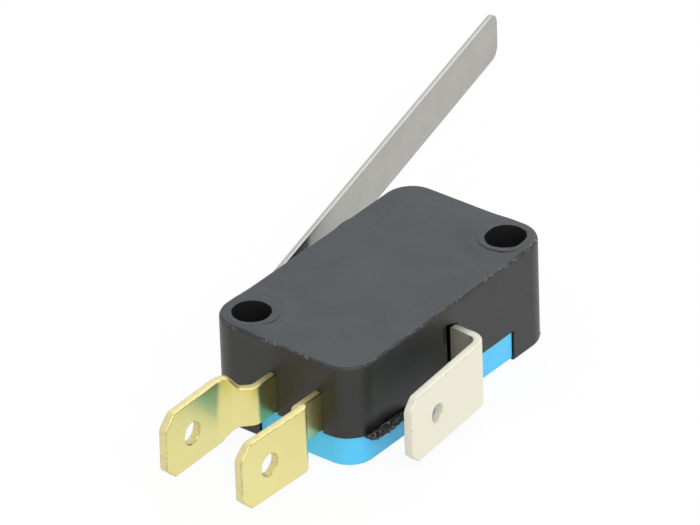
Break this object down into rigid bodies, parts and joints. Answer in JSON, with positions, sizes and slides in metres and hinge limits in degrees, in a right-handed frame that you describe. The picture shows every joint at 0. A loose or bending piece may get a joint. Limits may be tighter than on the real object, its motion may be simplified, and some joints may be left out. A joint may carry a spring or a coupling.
{
  "type": "lever micro switch",
  "caption": "Snap-action micro switch with a long straight lever, black case, blue cover, mounting holes through the corners and push-on tabs at one end and along the side.",
  "frame": {"origin": "on the axis of the mounting hole beside the lever hinge, at the rest face of the corner legs", "axes": "+X along the body away from the end tabs, +Y to the lever side, +Z through the thickness from the cover to the case roof"},
  "size_m": [0.0716, 0.0348, 0.0103],
  "materials": {
    "case": "matt, moulded",
    "cover": "satin, moulded",
    "lever": "dull stainless strip",
    "plunger": "matt, moulded",
    "brass": "bright rolled strip",
    "plated": "satin plated strip",
    "silver": "satin",
    "spring_bronze": "satin strip",
    "rocker_steel": "dull strip",
    "spring_steel": "bright wire"
  },
  "bodies": {
    "switch_body": {"case": "case", "cover": "cover", "com_terminal": "plated", "nc_terminal": "brass", "no_terminal": "brass", "nc_contact": "silver", "no_contact": "silver"},
    "lever_arm": {"lever": "lever"},
    "plunger_pin": {"plunger": "plunger"},
    "rocker_arm": {"rocker": "rocker_steel"},
    "blade_arm": {"contact_blade": "spring_bronze", "moving_contact": "silver"},
    "spring_coil": {"snap_spring": "spring_steel"}
  },
  "joints": [
    {"name": "lever_hinge", "type": "hinge", "parent": "switch_body", "child": "lever_arm", "pos_m": [0.0042, 0.0018, 0.00525], "axis": [0, 0, 1], "range_deg": [-13, 0], "stiffness_Nm_per_rad": 0.05, "springref_deg": 2.86},
    {"name": "plunger_slide", "type": "slide", "parent": "switch_body", "child": "plunger_pin", "axis": [0, 1, 0], "range_m": [-0.00168, 0]},
    {"name": "rocker_hinge", "type": "hinge", "parent": "switch_body", "child": "rocker_arm", "pos_m": [0.0175, -0.00656, 0.00525], "axis": [0, 0, 1], "range_deg": [0, 15.62]},
    {"name": "blade_hinge", "type": "hinge", "parent": "switch_body", "child": "blade_arm", "pos_m": [0.0167, -0.00627, 0.00525], "axis": [0, 0, 1], "range_deg": [0, 4.54]},
    {"name": "spring_swing", "type": "hinge", "parent": "blade_arm", "child": "spring_coil", "pos_m": [0.005, -0.00627, 0.00525], "axis": [0, 0, 1], "range_deg": [-22.3, 0]}
  ],
  "couplings": [
    {"joint": "plunger_slide", "follows": "lever_hinge", "m_per_rad": 0.0073626},
    {"joint": "rocker_hinge", "follows": "lever_hinge", "ratio": -1.1995},
    {"joint": "blade_hinge", "follows": "lever_hinge", "ratio": -0.34798},
    {"joint": "spring_swing", "follows": "lever_hinge", "ratio": 1.7092}
  ]
}
